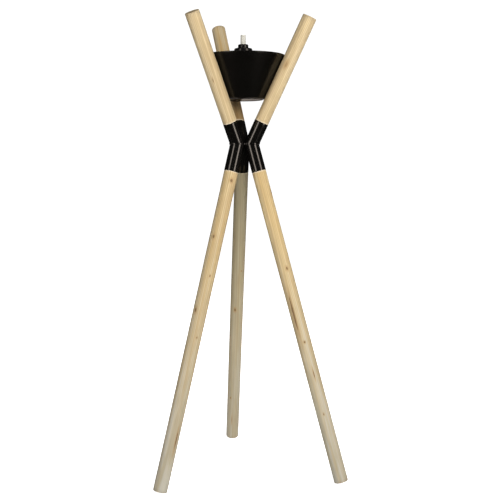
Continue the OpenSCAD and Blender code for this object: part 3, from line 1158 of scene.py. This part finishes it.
def tube_outline():
    bore = wick_r + 0.4 * MM
    low, top, seat = tube_low.z, tube_high.z, cap_top + joint_gap
    return [
        (bore, low, 0.0), *arc(holder_r, low + tube_bead, tube_bead, -90, 90, 8, 0.3),
        (holder_r, low + 3 * tube_bead, 0.0), (holder_r, seat, 0.0),
        *arc(collar_r - collar_foot, seat + collar_foot, collar_foot, -90, 0, 4, 0.4),
        (collar_r, top - collar_bevel - 0.3 * MM, 0.0),
        *arc(collar_r - bevel_round, top - collar_bevel, bevel_round, 0, 45, 4, 0.5),
        *arc(collar_r - collar_bevel, top - bevel_round, bevel_round, 45, 90, 4, 0.5),
        (bore + bevel_round, top, 0.3), (bore, top - bevel_round, 0.2),
    ]


holder = spin_outline("wick_holder_tube", tube_outline(), 128)
fit_out(holder, "wick_tube", "wick_holder", burner_paint)

# %% [markdown]
# ## The wick
# A torch wick is a hollow braid: yarns wind both ways around it and pass over and under
# each other. Two dozen woven tubes would need care wherever they cross, so the braid is a
# relief instead, worked out point by point: two families of strands, and at each place the
# one on top wins.

# %% The relief of a braid
strands = 12
strand_climb = 3.4 * MM
braid_depth = 0.55 * MM


def braid_relief(angle, z):
    """Height of the braid, from 0 in the gaps to 1 on top of a strand."""
    turn = strands * angle / math.tau
    first, second = turn + z / strand_climb, turn - z / strand_climb
    over = math.cos(math.pi * (math.floor(first) + math.floor(second)))
    bulge_a = math.sqrt(max(0, 1 - (2 * (first % 1) - 1) ** 2))
    bulge_b = math.sqrt(max(0, 1 - (2 * (second % 1) - 1) ** 2))
    wave_a = math.sin(math.pi * (second % 1))
    wave_b = math.sin(math.pi * (first % 1))
    high_a = bulge_a * (0.72 + 0.28 * wave_a * over)
    high_b = bulge_b * (0.72 - 0.28 * wave_b * over)
    return max(high_a, high_b)


print("a braid's strand rises", round(strand_climb * strands / MM, 1), "mm a turn")

# %% [markdown]
# The end is cut, so over its last millimetres the braid shrinks unevenly and dips between
# the strands. Loose fibres stand up from the cut, each a thin bent spike, and their places
# come from one seeded draw, so that the wick is the same each time.

# %% Build the wick
wick_row, tip_length = 0.3 * MM, 2.5 * MM
tip_fray, tip_dip = 0.5 * MM, 0.9 * MM
fibre_thick, fibre_bend = 0.16 * MM, 0.3 * MM


def build_wick():
    steps = 132
    rows = int((wick_high.z - wick_low.z) / wick_row)
    rings, wear_and_shade = [], []
    for i in range(rows + 1):
        z = wick_low.z + (wick_high.z - wick_low.z) * i / rows
        loosen = 1 - smooth_between(wick_high.z - z, 0, tip_length)
        ring = []
        for k in range(steps):
            a = math.tau * k / steps
            x, y = math.cos(a), math.sin(a)
            high = braid_relief(a, z)
            fray = tip_fray * loosen * (0.5 + noise.noise(Vector((x * 3, y * 3, 2))))
            radius = wick_r - braid_depth * (1 - high) - fray
            dip = tip_dip * loosen * abs(noise.noise(Vector((x * 4, y * 4, 5))))
            ring.append(Vector((radius * x, radius * y, z - dip)))
            # Painted shade: 1 in the gaps between the strands, 0 on their tops.
            wear_and_shade.append((1 - high) ** 2)
        rings.append(ring)
    last = rings[-1]
    # The rings that close the cut end carry painted shade, darkest in the hollow middle.
    for share, drop in ((0.86, 0.1), (0.6, 0.5), (0.3, 0.9), (0.02, 1.0)):
        rings.append([Vector((p.x * share, p.y * share, p.z - drop * MM)) for p in last])
        wear_and_shade.extend([0.5 + 0.4 * drop] * steps)
    points, faces = skin(rings)
    return finish_mesh("braided_wick", points, faces, wear_and_shade, sharp=180)


def build_fibres(count=110):
    """Loose glass fibres at the cut end, each a thin bent spike with three sides."""
    chance = random.Random(7)
    points, faces = [], []
    for _ in range(count):
        outwards = around(math.degrees(chance.uniform(0, math.tau)), 1.0)
        out = wick_r * math.sqrt(chance.uniform(0.05, 0.9))
        root = outwards * out + Vector((0, 0, wick_high.z - 1.2 * MM))
        grow = outwards * chance.uniform(-0.1, 0.35)
        grow += Vector((chance.uniform(-0.2, 0.2), chance.uniform(-0.2, 0.2), 1))
        length = chance.uniform(1.2, 2.2) * MM
        start = len(points)
        for t, w in ((0, 1), (0.5, 0.8), (1, 0.1)):
            centre = root + grow * length * t + outwards * fibre_bend * t * t
            for k in range(3):
                points.append(centre + around(120 * k, fibre_thick * w))
        for level in (0, 3):
            for k in range(3):
                m = (k + 1) % 3
                faces.append((start + level + k, start + level + m,
                              start + level + 3 + m, start + level + 3 + k))
        faces.append((start, start + 2, start + 1))
        faces.append((start + 6, start + 7, start + 8))
    return finish_mesh("loose_fibres", points, faces, [0.0] * len(points), sharp=180)


wick = join(build_wick(), build_fibres())
fit_out(wick, "wick", "wick_stem", wick_finish)

# %% [markdown]
# ## The floor and the room
# The torch stands on a plain white sweep that has no edge and casts hardly a shadow. A lit
# floor would go grey towards the horizon, so it gives off a little light of its own, enough
# for the lens to see it white. Black paint shows what is around it, and a white room would
# wash it out. So in reflections the floor and the room are nearly dark, except for one
# bright patch of floor behind the torch, which draws the warm line under the bowl.

# %% Build the floor and the room
floor_to_lens, room_to_lens, light_to_all = 0.85, 0.9, 0.17
room_in_gloss, floor_in_gloss = 0.07, 0.012
patch_start, patch_full = -0.25, 0.35
patch_side, patch_middle = 1.3, 0.6


def build_floor():
    bpy.ops.mesh.primitive_plane_add(size=40, location=(0, 0, 0))
    floor = bpy.context.object
    floor.name = "floor"
    material = bpy.data.materials.new("white_sweep")
    material.use_nodes = True
    tree = material.node_tree
    tree.nodes.clear()
    path = tree.nodes.new("ShaderNodeLightPath").outputs
    spot = tree.nodes.new("ShaderNodeNewGeometry").outputs["Position"]
    aside, behind = put(tree, "ShaderNodeSeparateXYZ", {0: spot}).outputs[0:2]
    level = maths(tree, "MULTIPLY_ADD", path["Is Camera Ray"], floor_to_lens, light_to_all)
    matte = put(tree, "ShaderNodeBsdfDiffuse", {"Color": (0.88, 0.88, 0.88, 1)})
    bright = put(tree, "ShaderNodeEmission", {"Color": (1, 1, 1, 1), "Strength": level})
    lit = put(tree, "ShaderNodeAddShader", {0: matte.outputs[0], 1: bright.outputs[0]})
    beside = smooth_step(tree, maths(tree, "ABSOLUTE", aside), patch_side, patch_middle)
    patch = maths(tree, "MULTIPLY", smooth_step(tree, behind, patch_start, patch_full), beside)
    shine = maths(tree, "ADD", patch, floor_in_gloss)
    warm = put(tree, "ShaderNodeEmission", {"Color": (1, 0.86, 0.76, 1), "Strength": shine})
    mixed = put(tree, "ShaderNodeMixShader",
                {0: path["Is Glossy Ray"], 1: lit.outputs[0], 2: warm.outputs[0]})
    output = tree.nodes.new("ShaderNodeOutputMaterial")
    tree.links.new(mixed.outputs[0], output.inputs["Surface"])
    floor.data.materials.append(material)


def build_world():
    world = bpy.data.worlds.new("studio")
    world.use_nodes = True
    tree = world.node_tree
    tree.nodes.clear()
    path = tree.nodes.new("ShaderNodeLightPath").outputs
    level = maths(tree, "MULTIPLY_ADD", path["Is Camera Ray"], room_to_lens, light_to_all)
    in_gloss = maths(tree, "MULTIPLY_ADD", path["Is Glossy Ray"], room_in_gloss - 1, 1.0)
    level = maths(tree, "MULTIPLY", level, in_gloss)
    sky = put(tree, "ShaderNodeBackground", {"Color": (1, 1, 1, 1), "Strength": level})
    output = tree.nodes.new("ShaderNodeOutputWorld")
    tree.links.new(sky.outputs[0], output.inputs["Surface"])
    bpy.context.scene.world = world


build_floor()
build_world()
print("the floor and the room are lit")

# %% [markdown]
# ## The lights
# Two tall warm strips, to the left and the right of the camera, are seen only in
# reflections: they draw the long bright lines on the glossy tubes. One wide soft light from
# the front fills the wood, and two cool ones from behind keep the back from going dark.
# Those three stay out of reflections, so that the black steel stays black.

# %% Place the lights
warm_light, plain_light, cool_light = (1.0, 0.88, 0.77), (1.0, 0.985, 0.955), (0.97, 0.985, 1.0)
torch_middle, bowl_level = 0.7, 1.15


def softbox(name, bearing, distance, height, size, power, tint, only_gloss=False):
    """An area light at a bearing from the camera's side, facing the torch."""
    data = bpy.data.lights.new(name, "AREA")
    data.shape = "RECTANGLE"
    data.size, data.size_y = size
    data.energy = power
    data.color = tint
    light = bpy.data.objects.new(name, data)
    a = math.radians(bearing) + camera_side
    light.location = (distance * math.sin(a), -distance * math.cos(a), height)
    aim = bowl_level if only_gloss else torch_middle
    look = Vector((0, 0, aim)) - light.location
    light.rotation_euler = look.to_track_quat("-Z", "Y").to_euler()
    light.visible_glossy = only_gloss
    light.visible_diffuse = not only_gloss
    bpy.context.scene.collection.objects.link(light)


softbox("strip_left", -42, 2.2, bowl_level, (0.66, 2.2), 27, warm_light, only_gloss=True)
softbox("strip_right", 48, 2.2, bowl_level, (0.72, 2.2), 33, warm_light, only_gloss=True)
softbox("front_fill", 16, 3.0, 1.9, (1.2, 1.5), 106, plain_light)
softbox("back_fill_left", -140, 3.0, 1.6, (1.6, 1.6), 26, cool_light)
softbox("back_fill_right", 135, 3.0, 1.6, (1.6, 1.6), 30, cool_light)
bpy.context.scene.view_settings.view_transform = "Standard"
print("lights:", len(bpy.data.lights))
